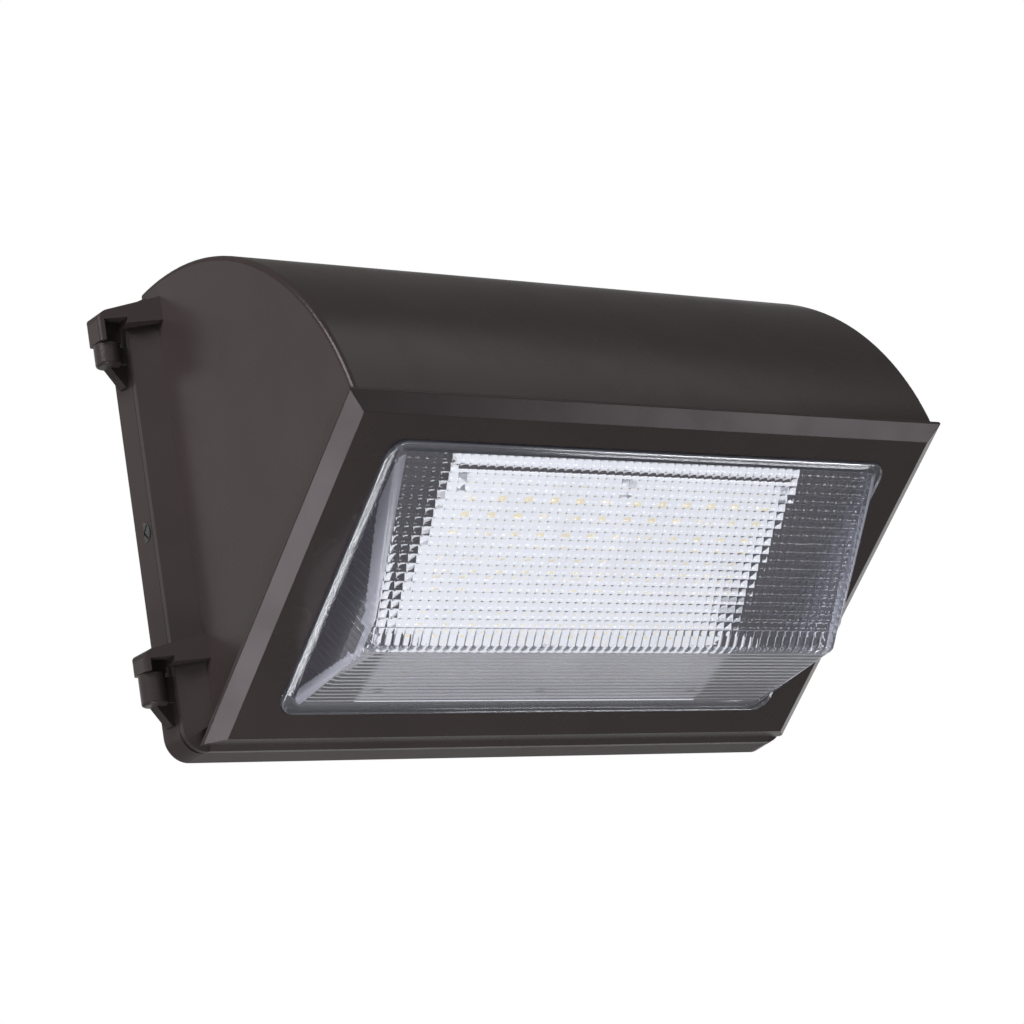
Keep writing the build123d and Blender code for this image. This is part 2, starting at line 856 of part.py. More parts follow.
def heat_sink():
    """The cast plate that carries the board in front and the driver behind."""
    plate = slope_block(sink_half_width, sink_start, sink_end, sink_bottom, sink_top, 6.0)
    plate += slope_block(
        pedestal_half_width, pedestal_start, pedestal_end, sink_top - 1, pedestal_top, 2.0
    )
    for side in (-1, 1):
        for place in sink_screw_places:
            length = sink_tab_reach - sink_half_width + 8
            tab = slope_block(
                length / 2,
                place - sink_tab_half_length,
                place + sink_tab_half_length,
                sink_bottom,
                sink_top,
                3.0,
            )
            plate += Pos(side * (sink_tab_reach - length / 2), 0, 0) * tab
            x = side * land_screw_x
            plate += slope_rod(x, place, sink_boss_radius, sink_top - 1, land_bottom)
            plate -= slope_rod(x, place, land_screw_radius + 0.2, -big, 0)
    # fins beside and below the driver
    fin_count = int((sink_half_width - 6) / fin_pitch)
    driver_zone = driver_length / 2 + driver_foot + 4
    for number in range(-fin_count, fin_count + 1):
        x = number * fin_pitch
        beside = abs(x) > driver_zone
        in_connector = abs(x - supply_connector_place[0]) < supply_connector_size[0] / 2 + 3
        start = sink_start + 4 if beside else driver_start + driver_width + 12
        end = supply_connector_place[1] - 42 if in_connector else sink_end - 4
        if abs(x - lead_hole_place[0]) < fin_pitch * 0.8:
            start = lead_hole_place[1] + 12
        plate += Pos(x, 0, 0) * slope_block(
            fin_thickness / 2, start, end, sink_bottom - fin_height, sink_bottom + 1
        )
    for x, place in driver_screw_places():
        base = sink_bottom - driver_standoff
        plate += slope_rod(x, place, sink_boss_radius, base, sink_bottom + 1)
        hole_end = sink_bottom + driver_hole_end
        plate -= slope_rod(x, place, land_screw_radius, base - 1, hole_end)
    x, place = supply_connector_place
    plate += slope_rod(x, place, connector_post_radius, supply_connector_base, sink_bottom + 1)
    plate -= slope_rod(*lead_hole_place, lead_hole_radius, -big, big)
    for x, place in board_screw_places():
        hole_end = pedestal_top - board_screw_reach - screw_tip_room
        plate -= slope_rod(x, place, board_screw_radius, hole_end, pedestal_top + 1)
    return on_slope(plate)


def sink_screws():
    tip = boss_hole_end - screw_tip_room
    return [
        land_screw(side * land_screw_x, place, sink_bottom, tip)
        for side in (-1, 1)
        for place in sink_screw_places
    ]


def reflector_sheet():
    """A thin white sheet under the board. It shows above the board, past a slot."""
    sheet = slope_block(
        board_half_width, pedestal_start + 1, pedestal_end - 1, pedestal_top, board_bottom
    )
    sheet -= slope_block(
        board_half_width - reflector_slot_end,
        board_start - reflector_slot_width,
        board_start,
        pedestal_top - 1,
        board_bottom + 1,
    )
    for x, place in board_screw_places():
        sheet -= slope_rod(x, place, board_screw_radius, -big, big)
    return on_slope(sheet - slope_rod(*lead_hole_place, lead_hole_radius, -big, big))


def led_board():
    """The white lamp board."""
    board = slope_block(
        board_half_width, board_start, board_end, board_bottom, board_top, 1.5
    )
    for x, place in board_screw_places():
        board -= slope_rod(x, place, board_screw_radius, -big, big)
    return on_slope(board - slope_rod(*lead_hole_place, lead_hole_radius, -big, big))


def led_chips():
    """The lamp chips, soldered to the board in rows."""
    chips = []
    for place in chip_rows:
        for number in range(chips_in_row):
            x = (number - (chips_in_row - 1) / 2) * chip_pitch
            chip = Box(chip_length, chip_width, chip_height)
            chips.append(on_slope(Pos(x, -place, board_top + chip_height / 2) * chip))
    return chips


def board_screws():
    """Pan-head screws that clamp the board to the heat sink."""
    screws = []
    for x, place in board_screw_places():
        head_top = board_top + small_head_height
        head = slope_rod(x, place, small_head_radius, board_top, head_top)
        head = fillet(head.edges().sort_by(Axis.Z)[-1], 0.35 * small_head_height)
        cross = Box(1.1 * small_head_radius, head_recess_width, small_head_height)
        for turn in (0, 90):
            head -= Pos(x, -place, head_top) * Rot(0, 0, turn) * cross
        shank_end = pedestal_top - board_screw_reach
        shank = slope_rod(x, place, board_screw_radius, shank_end, board_top)
        screws.append(on_slope(head + shank))
    return screws


def board_connector():
    """The poke-in connector over the board's lead hole."""
    length, width, height = board_connector_size
    x, place = lead_hole_place
    body = Pos(x, -place, board_top + height / 2) * Box(length, width, height)
    body = fillet(body.edges().filter_by(Axis.Z), 0.8)
    for side in (-1, 1):
        wire_x = x + side * lead_spacing / 2
        body -= slope_rod(wire_x, place, lead_radius, board_top - 1, board_top + lead_entry)
    return on_slope(body)


def swept_lead(points, radius):
    """A wire along straight runs with one round bend at each inner point."""
    path = FilletPolyline(*points, radius=radius)
    section = Plane(origin=path @ 0, z_dir=path % 0) * Circle(lead_radius)
    return on_slope(sweep(section, path))


def board_leads():
    """Two wires from the driver, up through the heat sink, to the board."""
    leads = []
    for side in (-1, 1):
        x = lead_hole_place[0] + side * lead_spacing / 2
        place = lead_hole_place[1]
        exit_x, exit_place, exit_height = board_lead_exit
        height = exit_height - side * lead_spacing / 2
        points = (
            (x, -place, board_top + lead_entry),
            (x, -place, height),
            (exit_x + 16, -exit_place, height),
            (exit_x, -exit_place, height),
        )
        leads.append(swept_lead(points, lead_bend_radius))
    return leads


def input_leads():
    """Three wires from the driver to the supply connector."""
    leads = []
    exit_x, exit_place, exit_height = supply_lead_exit
    for number in (-1, 0, 1):
        x = supply_connector_place[0] + number * pin_spacing
        place = exit_place + number * lead_spacing
        end = supply_connector_place[1] - supply_connector_size[1] / 2
        points = (
            (exit_x, -place, exit_height),
            (x, -place, exit_height),
            (x, -end, exit_height),
        )
        leads.append(swept_lead(points, 1.5 * lead_bend_radius))
    return leads


def supply_connector():
    """A plug-in connector, open downwards for the supply wires' half."""
    width, length, height = supply_connector_size
    x, place = supply_connector_place
    middle = supply_connector_base - height / 2
    body = Pos(x, -place, middle) * Box(width, length, height)
    body = fillet(body.edges().filter_by(Axis.Z), 1.0)
    for number in (-1, 0, 1):
        pocket_x = x + number * pin_spacing
        body -= Pos(pocket_x, -place - length / 2, middle) * Box(*plug_pocket_size)
    return on_slope(body)


def driver_inside(length):
    """The space inside the driver's case, over the given length."""
    middle = driver_start + driver_width / 2
    size = (length, driver_width - 2 * driver_wall, driver_height - 2 * driver_wall)
    return Pos(0, -middle, driver_base - driver_height / 2) * Box(*size)


def driver_case():
    """The driver's folded metal case, open at its ends, with a foot at each end."""
    middle = driver_start + driver_width / 2
    length = driver_length - 2 * end_cap_length
    case = Pos(0, -middle, driver_base - driver_height / 2) * Box(
        length, driver_width, driver_height
    )
    case = fillet(case.edges().filter_by(Axis.X), 2.5)
    foot_length = driver_length + 2 * driver_foot
    foot = Pos(0, -middle, driver_base - driver_foot_thickness / 2) * Box(
        foot_length, driver_foot_width, driver_foot_thickness
    )
    foot = fillet(foot.edges().filter_by(Axis.Z), 3.0)
    for x, place in driver_screw_places():
        foot -= slope_rod(x, place, land_screw_radius + 0.3, -big, big)
    return on_slope(case + foot - driver_inside(length))


def driver_potting():
    """The block of potted electronics that fills the driver's case."""
    return on_slope(driver_inside(driver_length - 2 * end_cap_length))


def driver_end_caps():
    """Plastic caps that close the driver's ends round its wires."""
    middle = driver_start + driver_width / 2
    cap_height = driver_height - driver_foot_thickness
    caps = []
    for side in (-1, 1):
        place = Pos(
            side * (driver_length - end_cap_length) / 2,
            -middle,
            driver_base - driver_foot_thickness - cap_height / 2,
        )
        cap = place * Box(end_cap_length, driver_width - 2, cap_height)
        caps.append(on_slope(fillet(cap.edges().filter_by(Axis.X), 2.0)))
    return caps


def driver_screws():
    seat = driver_base - driver_foot_thickness
    tip = sink_bottom + driver_hole_end - screw_tip_room
    return [land_screw(x, place, seat, tip) for x, place in driver_screw_places()]


# -------------------------------------------------------------------------- the parts
def write(name, shape):
    """Write one sub-part with the origin at the middle of the wall fixings."""
    pieces = shape if isinstance(shape, list) else [shape]
    placed = [Pos(0, 0, -mount_height) * piece for piece in pieces]
    export_step(Compound(children=placed, label=name), f"parts/{name}.step")


def main():
    os.makedirs("parts", exist_ok=True)
    write("back_box", back_box())
    write("box_gasket", box_gasket())
    write("vent_plug", vent_plug())
    write("entry_grommet", entry_grommet())
    write("ground_screw", ground_screw())
    write("hinge_pins", hinge_pins())
    write("hood", hood())
    write("lens_frame", lens_frame())
    write("frame_gasket", frame_gasket())
    write("frame_screws", frame_screws())
    write("lens", lens())
    write("lens_gasket", lens_gasket())
    write("lens_clips", lens_clips())
    write("lens_clip_screws", lens_clip_screws())
    write("heat_sink", heat_sink())
    write("sink_screws", sink_screws())
    write("reflector_sheet", reflector_sheet())
    write("led_board", led_board())
    write("led_chips", led_chips())
    write("board_screws", board_screws())
    write("board_connector", board_connector())
    write("board_leads", board_leads())
    write("driver_case", driver_case())
    write("driver_potting", driver_potting())
    write("driver_end_caps", driver_end_caps())
    write("driver_screws", driver_screws())
    write("input_leads", input_leads())
    write("supply_connector", supply_connector())
    lower, upper = screw_heights
    write("lower_cover_screw", cover_screw(lower))
    write("lower_screw_retainer", screw_retainer(lower))
    write("upper_cover_screw", cover_screw(upper))
    write("upper_screw_retainer", screw_retainer(upper))


main()
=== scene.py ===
import json
from math import cos, radians, sin

import bmesh
import bpy
import numpy as np
from mathutils import Matrix, Vector


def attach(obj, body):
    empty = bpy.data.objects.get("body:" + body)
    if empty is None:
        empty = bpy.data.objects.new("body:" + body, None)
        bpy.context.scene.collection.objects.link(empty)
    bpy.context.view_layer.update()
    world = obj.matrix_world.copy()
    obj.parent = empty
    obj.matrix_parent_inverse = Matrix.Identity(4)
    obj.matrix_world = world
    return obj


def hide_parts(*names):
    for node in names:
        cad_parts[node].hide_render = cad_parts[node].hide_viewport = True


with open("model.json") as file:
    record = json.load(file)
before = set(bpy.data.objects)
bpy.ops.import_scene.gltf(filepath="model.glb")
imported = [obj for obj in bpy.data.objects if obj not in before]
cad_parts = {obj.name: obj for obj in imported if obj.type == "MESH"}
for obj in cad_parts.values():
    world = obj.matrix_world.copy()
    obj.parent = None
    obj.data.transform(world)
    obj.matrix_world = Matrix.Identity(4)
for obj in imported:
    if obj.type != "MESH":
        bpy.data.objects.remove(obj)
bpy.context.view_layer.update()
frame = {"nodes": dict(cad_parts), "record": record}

MM = 0.001
EVEN = (1, 1, 1)

# Materials. Colours are linear, and noise scales are features per metre. A noise blends
# two colours over the first of these ranges, and two numbers over the second.
COLOUR_RANGE = (0.35, 0.65)
NUMBER_RANGE = (0.3, 0.7)
COAT_SPECULAR = 0.14
COAT_SPECULAR_TINT = (1.0, 0.89, 0.97, 1)
METAL_GRAIN = 900.0
MOULDED_GRAIN = 1200.0
BOARD_GRAIN = 500.0
FLOOR_GRAIN = 100.0
# The colour of the painted glow that brightens the board, the reflector sheet and the LED chips
PAINTED_GLOW_COLOUR = (1.0, 0.96, 0.93, 1)
GLASS_IOR = 1.5
GLASS_VARIATION = 0.03
MILK_COLOUR = (0.50, 0.51, 0.62, 1)
CLEAR_COLOUR = (0.92, 0.94, 0.97, 1)
WHITE = (1, 1, 1, 1)

# The slope that the lens frame lies on, in millimetres, as in the CAD model: u runs down
# the slope from the frame's top edge, h stands out of it, and x runs to the right.
SLOPE = radians(52.7)
ORIGIN_HEIGHT = 117.0
SLOPE_TOP_DEPTH = 182.0
SLOPE_TOP_HEIGHT = 125.5 - ORIGIN_HEIGHT

# The lens's outline on the slope, its rim and its flange
LENS_HALF = 152.5
LENS_TOP = 22.0
LENS_BOTTOM = 179.0
LENS_CORNER = 10.0
RIM_HEIGHT = 7.3
RIM_ROUND = 1.5
RIM_LAND = 3.0
END_LAND = 6.0
FLANGE = 5.5
FLANGE_LOW = -1.4
FLANGE_HIGH = 1.6
FLANGE_CORNER = 12.0

# The wedge: its foot on the rim's land, and the ridge where its front and back meet
WALL = 3.0
WEDGE_START = LENS_TOP + RIM_LAND
WEDGE_END = LENS_BOTTOM - END_LAND
WEDGE_HALF = LENS_HALF - RIM_LAND
EDGE_ALONG = 113.6
EDGE_HEIGHT = 41.0
EDGE_HALF = 144.5
OUTER_RIDGE_ROUND = 2.0
OUTER_EDGE_ROUND = 7.0
INNER_RIDGE_ROUND = 1.0
INNER_EDGE_ROUND = 1.0

# The prisms inside the wedge. The teeth start at a share of the front's length and end a
# little behind the ridge. Grooves are shares of a cell: at a half, no flat is left.
CELLS_ACROSS = 56
CELLS_FRONT = 21
RIBS_BEHIND = 16
COLUMN_DEPTH = 0.16
ROW_DEPTH = 0.34
TEETH_DEPTH = 2.0
TEETH_START = 0.905
TEETH_END = 5.0
RIB_DEPTH = 1.1
END_RIB_DEPTH = 0.4
GROOVE_SHARE = 0.22
RIB_GROOVE = 0.5

# The milky bead along the rounded edges of each end
BEAD_WIDTH = 10.0
BEAD_WIDTH_BEHIND = 5.0
BEAD_REACH = 2.0
BEAD_START = RIM_HEIGHT + 1.0

# How finely the lens is meshed
CELL_STOPS = (0.0, GROOVE_SHARE / 2, GROOVE_SHARE, 1 - GROOVE_SHARE, 1 - GROOVE_SHARE / 2)
RIB_STOPS = (0.0, 0.25, 0.5, 0.75)
RIM_STEPS = 6
SIDE_STEPS = 41
HALVINGS = 30
HIGHEST = EDGE_HEIGHT + 1.0
ROUNDING = 1e-6
SHARP_ANGLE = radians(32)

# The camera, as solved from the photograph's straight edges: its lens and sensor are in
# millimetres, and the rest is in metres.
CAMERA_PLACE = Vector((-1.0214, -1.3397, -0.4376))
CAMERA_RIGHT = Vector((0.7987, -0.5803, -0.1592))
CAMERA_FORWARD = Vector((0.6011, 0.7572, 0.2556))
CAMERA_LENS = 118.66
SENSOR_WIDTH = 36.0
CLIP_START = 0.05

# The room. The world's light dims to the ceiling's between two heights of a direction,
# where 0 is level and 1 is straight up. The floor is in metres.
WORLD_LIGHT = 0.2
CEILING_START = 0.30
CEILING_END = 0.50
CEILING_LIGHT = 0.15
FLOOR_GLOW = 0.55
FLOOR_MIRRORED = 0.16
FLOOR_HALF = 6.0
FLOOR_HEIGHT = -1.3


# ---------------------------------------------------------------------- nodes
def noise(tree, scale, detail=2.0, stretch=EVEN):
    """Noise in object coordinates."""
    place = tree.nodes.new("ShaderNodeTexCoord")
    mapping = tree.nodes.new("ShaderNodeMapping")
    mapping.inputs["Scale"].default_value = stretch
    texture = tree.nodes.new("ShaderNodeTexNoise")
    texture.inputs["Scale"].default_value = scale
    texture.inputs["Detail"].default_value = detail
    tree.links.new(place.outputs["Object"], mapping.inputs["Vector"])
    tree.links.new(mapping.outputs["Vector"], texture.inputs["Vector"])
    return texture.outputs["Fac"]


def map_range(tree, value, low, high, start=0.0, end=1.0):
    """A value from start to end, mapped to low and high, which are numbers or sockets."""
    node = tree.nodes.new("ShaderNodeMapRange")
    node.inputs["From Min"].default_value = start
    node.inputs["From Max"].default_value = end
    for name, limit in (("To Min", low), ("To Max", high)):
        if isinstance(limit, bpy.types.NodeSocket):
            tree.links.new(limit, node.inputs[name])
        else:
            node.inputs[name].default_value = limit
    tree.links.new(value, node.inputs["Value"])
    return node.outputs["Result"]


def greater(tree, first, second):
    node = tree.nodes.new("ShaderNodeMath")
    node.operation = "MAXIMUM"
    tree.links.new(first, node.inputs[0])
    tree.links.new(second, node.inputs[1])
    return node.outputs["Value"]


def mix_shaders(tree, factor, first, second):
    """Two shaders, mixed by a number or a socket."""
    node = tree.nodes.new("ShaderNodeMixShader")
    if isinstance(factor, bpy.types.NodeSocket):
        tree.links.new(factor, node.inputs["Fac"])
    else:
        node.inputs["Fac"].default_value = factor
    tree.links.new(first, node.inputs[1])
    tree.links.new(second, node.inputs[2])
    return node.outputs["Shader"]


def set_colour(tree, shader, dark, light, scale, detail=2.0, stretch=EVEN):
    """A colour that drifts between a dark and a light shade."""
    node = tree.nodes.new("ShaderNodeValToRGB")
    for element, position, shade in zip(node.color_ramp.elements, COLOUR_RANGE, (dark, light)):
        element.position = position
        element.color = (*shade, 1)
    tree.links.new(noise(tree, scale, detail, stretch), node.inputs["Fac"])
    tree.links.new(node.outputs["Color"], shader.inputs["Base Color"])


def set_roughness(tree, shader, low, high, scale, stretch=EVEN):
    """A roughness that drifts between two values."""
    patches = noise(tree, scale, stretch=stretch)
    rough = map_range(tree, patches, low, high, *NUMBER_RANGE)
    tree.links.new(rough, shader.inputs["Roughness"])


def set_bump(tree, shader, scale, strength, depth, stretch=EVEN):
    """A fine grain, with its depth in metres."""
    node = tree.nodes.new("ShaderNodeBump")
    node.inputs["Strength"].default_value = strength
    node.inputs["Distance"].default_value = depth
    tree.links.new(noise(tree, scale, stretch=stretch), node.inputs["Height"])
    tree.links.new(node.outputs["Normal"], shader.inputs["Normal"])


# ------------------------------------------------------------------ materials
def new_material(name):
    material = bpy.data.materials.new(name)
    material.use_nodes = True
    return material, material.node_tree, material.node_tree.nodes["Principled BSDF"]


def powder_coat(name, dark, light, rough):
    """A baked powder coat: a faint cloudiness, and a fine orange-peel grain."""
    material, tree, shader = new_material(name)
    set_colour(tree, shader, dark, light, scale=14.0, detail=4.0)
    set_roughness(tree, shader, rough - 0.03, rough + 0.03, scale=40.0)
    set_bump(tree, shader, scale=1500.0, strength=0.12, depth=0.00012)
    shader.inputs["Specular IOR Level"].default_value = COAT_SPECULAR
    shader.inputs["Specular Tint"].default_value = COAT_SPECULAR_TINT
    return material


def metal(name, dark, light, rough, stretch=EVEN):
    """Bare or plated metal, with a fine grain that stretch draws out."""
    material, tree, shader = new_material(name)
    shader.inputs["Metallic"].default_value = 1.0
    set_colour(tree, shader, dark, light, METAL_GRAIN / 8, 3.0, stretch)
    set_roughness(tree, shader, rough - 0.06, rough + 0.08, METAL_GRAIN, stretch)
    set_bump(tree, shader, METAL_GRAIN, strength=0.1, depth=0.0001, stretch=stretch)
    return material


def moulded(name, dark, light, rough, grain=MOULDED_GRAIN):
    """Plastic or rubber, with a faint moulded grain."""
    material, tree, shader = new_material(name)
    set_colour(tree, shader, dark, light, scale=60.0, detail=3.0)
    set_roughness(tree, shader, rough - 0.05, rough + 0.05, scale=150.0)
    set_bump(tree, shader, grain, strength=0.08, depth=0.00008)
    return material


def with_painted_glow(name, dark, light, rough, glow):
    """A white board, a reflector or a lamp chip with a faint even glow, which is painted light
    that brightens them.
    """
    material = moulded(name, dark, light, rough, BOARD_GRAIN)
    shader = material.node_tree.nodes["Principled BSDF"]
    shader.inputs["Emission Color"].default_value = PAINTED_GLOW_COLOUR
    shader.inputs["Emission Strength"].default_value = glow
    return material


def lens_glass(name, tint, rough, haze):
    """Pressed glass with some milky haze. Shadow and diffuse rays go straight through it,
    so that the lamps reach the board."""
    material, tree, shader = new_material(name)
    shader.inputs["Transmission Weight"].default_value = 1.0
    shader.inputs["IOR"].default_value = GLASS_IOR
    light = [share + GLASS_VARIATION for share in tint]
    set_colour(tree, shader, tint, light, scale=30.0)
    set_roughness(tree, shader, rough, rough + GLASS_VARIATION, scale=80.0)
    milk = tree.nodes.new("ShaderNodeBsdfDiffuse")
    milk.inputs["Color"].default_value = MILK_COLOUR
    clear = tree.nodes.new("ShaderNodeBsdfTransparent")
    clear.inputs["Color"].default_value = CLEAR_COLOUR
    path = tree.nodes.new("ShaderNodeLightPath")
    passing = greater(tree, path.outputs["Is Shadow Ray"], path.outputs["Is Diffuse Ray"])
    hazy = mix_shaders(tree, haze, shader.outputs["BSDF"], milk.outputs["BSDF"])
    glass = mix_shaders(tree, passing, hazy, clear.outputs["BSDF"])
    tree.links.new(glass, tree.nodes["Material Output"].inputs["Surface"])
    return material


# Each finish has a darker and a lighter shade.
BRONZE = powder_coat("bronze_powder_coat", (0.029, 0.0225, 0.0218), (0.033, 0.0258, 0.025),
                     rough=0.265)
BLACK_RUBBER = moulded("black_rubber", (0.012, 0.012, 0.012), (0.022, 0.022, 0.022), rough=0.6)
BLACK_PLASTIC = moulded("black_plastic", (0.015, 0.014, 0.014), (0.025, 0.024, 0.024), rough=0.45)
WHITE_PLASTIC = moulded("white_plastic", (0.72, 0.72, 0.70), (0.80, 0.80, 0.78), rough=0.4)
# The board, the reflector sheet and the LED chips carry a faint glow: painted light that brightens
# them.
WHITE_BOARD = with_painted_glow("white_board", (0.80, 0.81, 0.80), (0.86, 0.87, 0.86), rough=0.35, glow=0.33)
WHITE_SHEET = with_painted_glow("white_sheet", (0.80, 0.81, 0.80), (0.86, 0.87, 0.86), rough=0.4, glow=0.36)
PHOSPHOR = with_painted_glow("led_phosphor", (0.88, 0.72, 0.36), (0.94, 0.80, 0.46), rough=0.3, glow=0.30)
ZINC = metal("zinc_steel", (0.50, 0.51, 0.53), (0.66, 0.67, 0.70), rough=0.32)
SHEET_METAL = metal("driver_metal", (0.52, 0.53, 0.54), (0.62, 0.63, 0.64), rough=0.35,
                    stretch=(1, 8, 8))
DARK_SCREW = metal("bronze_screw", (0.08, 0.07, 0.065), (0.12, 0.105, 0.10), rough=0.38)
GREEN = metal("green_steel", (0.03, 0.22, 0.07), (0.05, 0.30, 0.10), rough=0.4)
RED_WIRE = moulded("red_wire", (0.42, 0.02, 0.02), (0.5, 0.03, 0.025), rough=0.35)
BLACK_WIRE = moulded("black_wire", (0.012, 0.012, 0.012), (0.02, 0.02, 0.02), rough=0.35)
GLASS = lens_glass("lens_glass", (0.88, 0.89, 0.95), rough=0.0, haze=0.05)
# The ribbed glass behind the ridge is tinted near black: painted shade on the back of the lens.
SHADED_RIBBED_GLASS = lens_glass("ribbed_glass_painted_shade", (0.09, 0.08, 0.095), rough=0.22, haze=0.01)
FROSTED_GLASS = lens_glass("frosted_glass", (0.88, 0.89, 0.95), rough=0.5, haze=0.32)

SLOT_MATERIALS = {
    "bronze_casting": BRONZE,
    "zinc_steel": ZINC,
    "bronze_screw": DARK_SCREW,
    "green_steel": GREEN,
    "black_rubber": BLACK_RUBBER,
    "black_plastic": BLACK_PLASTIC,
    "white_plastic": WHITE_PLASTIC,
    "white_board": WHITE_BOARD,
    "led_phosphor": PHOSPHOR,
    "driver_metal": SHEET_METAL,
    "red_wire": RED_WIRE,
    "black_wire": BLACK_WIRE,
    "clear_lens": GLASS,
}

# The lens's materials, and which of them is which
LENS_MATERIALS = (GLASS, SHADED_RIBBED_GLASS, FROSTED_GLASS)
CLEAR = 0
RIBBED = 1
FROSTED = 2


def paint(thing, material):
    thing.data.materials.clear()
    thing.data.materials.append(material)


def add_object(name, data):
    thing = bpy.data.objects.new(name, data)
    bpy.context.scene.collection.objects.link(thing)
    return thing


# ------------------------------------------------------------------------ lens
# The lens is one closed mesh: a flange, a raised rim and a hollow wedge. The wedge's
# outside and inside are both height fields over the slope, found from slanted planes.
# The outside is smooth. The inside carries the prisms: a grid of pads in front, teeth
# along the ridge, and ribs behind and at the ends.
def plane_distance(run, rise, start, height, across):
    """How far a place is outside a plane that climbs by rise over run from start."""
    length = (run ** 2 + rise ** 2) ** 0.5
    return ((height - RIM_HEIGHT) * run - (across - start) * rise) / length


def wedge_planes(x, u, h):
    """How far a place is outside the wedge's front, back and ends."""
    rise = EDGE_HEIGHT - RIM_HEIGHT
    front = plane_distance(EDGE_ALONG - WEDGE_START, rise, WEDGE_START, h, u)
    back = plane_distance(WEDGE_END - EDGE_ALONG, rise, -WEDGE_END, h, -u)
    ends = plane_distance(WEDGE_HALF - EDGE_HALF, rise, -WEDGE_HALF, h, -np.abs(x))
    return front, back, ends


def rounded(first, second, radius):
    """Where two planes meet: outside is positive, with a round edge between them."""
    first = np.maximum(first + radius, 0)
    second = np.maximum(second + radius, 0)
    return np.sqrt(first ** 2 + second ** 2) - radius


def wedge(x, u, h, inset, ridge_round, edge_round, relief=(0, 0, 0)):
    """Positive outside the wedge. The relief thickens its front, back and ends."""
    front, back, ends = wedge_planes(x, u, h)
    ridge = rounded(front + inset + relief[0], back + inset + relief[1], ridge_round)
    return rounded(ridge, ends + inset + relief[2], edge_round)


def surface(xs, us, *shape):
    """The wedge's height over a grid of x and u, by halving."""
    x, u = np.meshgrid(xs, us)
    low = np.full_like(x, FLANGE_LOW)
    high = np.full_like(x, HIGHEST)
    for _ in range(HALVINGS):
        middle = (low + high) / 2
        inside = wedge(x, u, middle, *shape) < 0
        low = np.where(inside, middle, low)
        high = np.where(inside, high, middle)
    return low


def stops(start, end, cells, shares):
    """Grid lines from start to end: the same shares of every cell, without the end."""
    pitch = (end - start) / cells
    return [start + (cell + share) * pitch for cell in range(cells) for share in shares]


def grid_lines(half, half_edge, start, end):
    """Lines across and along the slope, closest where the prisms' edges are."""
    side = list(np.linspace(-half, -half_edge, SIDE_STEPS))[:-1]
    middle = stops(-half_edge, half_edge, CELLS_ACROSS, CELL_STOPS) + [half_edge]
    along = stops(start, EDGE_ALONG, CELLS_FRONT, CELL_STOPS)
    along += stops(EDGE_ALONG, end, RIBS_BEHIND, RIB_STOPS) + [end]
    return np.array(side + middle + [-x for x in reversed(side)]), np.array(along)


def pad(place, start, end, cells, groove):
    """0 in the grooves at a cell's borders, and 1 on the pad between them."""
    share = (place - start) / (end - start) * cells % 1
    share = np.where(np.abs(share - np.round(share)) < ROUNDING, 0, share)
    slope = np.clip(np.minimum(share, 1 - share) / groove, 0, 1)
    return slope ** 2 * (3 - 2 * slope)


def inner_relief(xs, us, half, start, end):
    """How far the prisms stand in from the wall, in front, behind and at the ends."""
    x, u = np.meshgrid(xs, us)
    along = (u - start) / (EDGE_ALONG - start)
    # the columns' grooves widen and deepen into teeth along the ridge
    widening = np.clip((along - TEETH_START) / (1 - TEETH_START), 0, 1)
    fading = np.clip(1 - (u - EDGE_ALONG) / TEETH_END, 0, 1)
    groove = GROOVE_SHARE + widening * (RIB_GROOVE - GROOVE_SHARE)
    columns = pad(x, -half, half, CELLS_ACROSS, groove)
    rows = pad(u, start, EDGE_ALONG, CELLS_FRONT, GROOVE_SHARE)
    ribs = pad(u, EDGE_ALONG, end, RIBS_BEHIND, RIB_GROOVE)
    grid = COLUMN_DEPTH * columns + ROW_DEPTH * rows
    front = np.where(widening > 0, ROW_DEPTH + TEETH_DEPTH * columns * widening, grid)
    back = np.maximum(RIB_DEPTH * ribs * (1 - fading), TEETH_DEPTH * columns * fading)
    ends = END_RIB_DEPTH * np.where(along < 1, rows, ribs)
    return front, back, ends


def height_field(bm, xs, us, heights):
    """A sheet of faces over the grid, and its rows of vertices."""
    rows = []
    for u, line in zip(us, heights):
        rows.append([bm.verts.new((x, u, h)) for x, h in zip(xs, line)])
    for upper, lower in zip(rows, rows[1:]):
        for i in range(len(xs) - 1):
            bm.faces.new((upper[i], upper[i + 1], lower[i + 1], lower[i]))
    return rows


def border(rows):
    """The vertices round a height field, in order."""
    right = [row[-1] for row in rows[:-1]]
    left = [row[0] for row in rows[:0:-1]]
    return rows[0][:-1] + right + rows[-1][:0:-1] + left


def shares_of(xs, us):
    """A height field's border, in order, as shares of its half width and half length."""
    middle = (us[0] + us[-1]) / 2
    across = xs / xs[-1]
    along = (us - middle) / (us[-1] - middle)
    first = [(x, -1.0) for x in across[:-1]]
    right = [(1.0, u) for u in along[:-1]]
    last = [(x, 1.0) for x in across[:0:-1]]
    left = [(-1.0, u) for u in along[:0:-1]]
    return first + right + last + left


def rounded_loop(bm, shares, half, start, end, radius, height):
    """The border's vertices again, spread round a rounded rectangle."""
    middle = (start + end) / 2
    reach = (end - start) / 2
    corner_x = half - radius
    corner_u = reach - radius
    loop = []
    for across, along in shares:
        x = across * half
        u = along * reach
        if abs(x) > corner_x and abs(u) > corner_u:
            out = Vector((abs(x) - corner_x, abs(u) - corner_u)).normalized() * radius
            x = (corner_x + out.x) * (1 if x > 0 else -1)
            u = (corner_u + out.y) * (1 if u > 0 else -1)
        loop.append(bm.verts.new((x, middle + u, height)))
    return loop


def bridge(bm, first, second):
    """A band of faces between two loops of as many vertices."""
    for i in range(len(first)):
        bm.faces.new((first[i - 1], first[i], second[i], second[i - 1]))


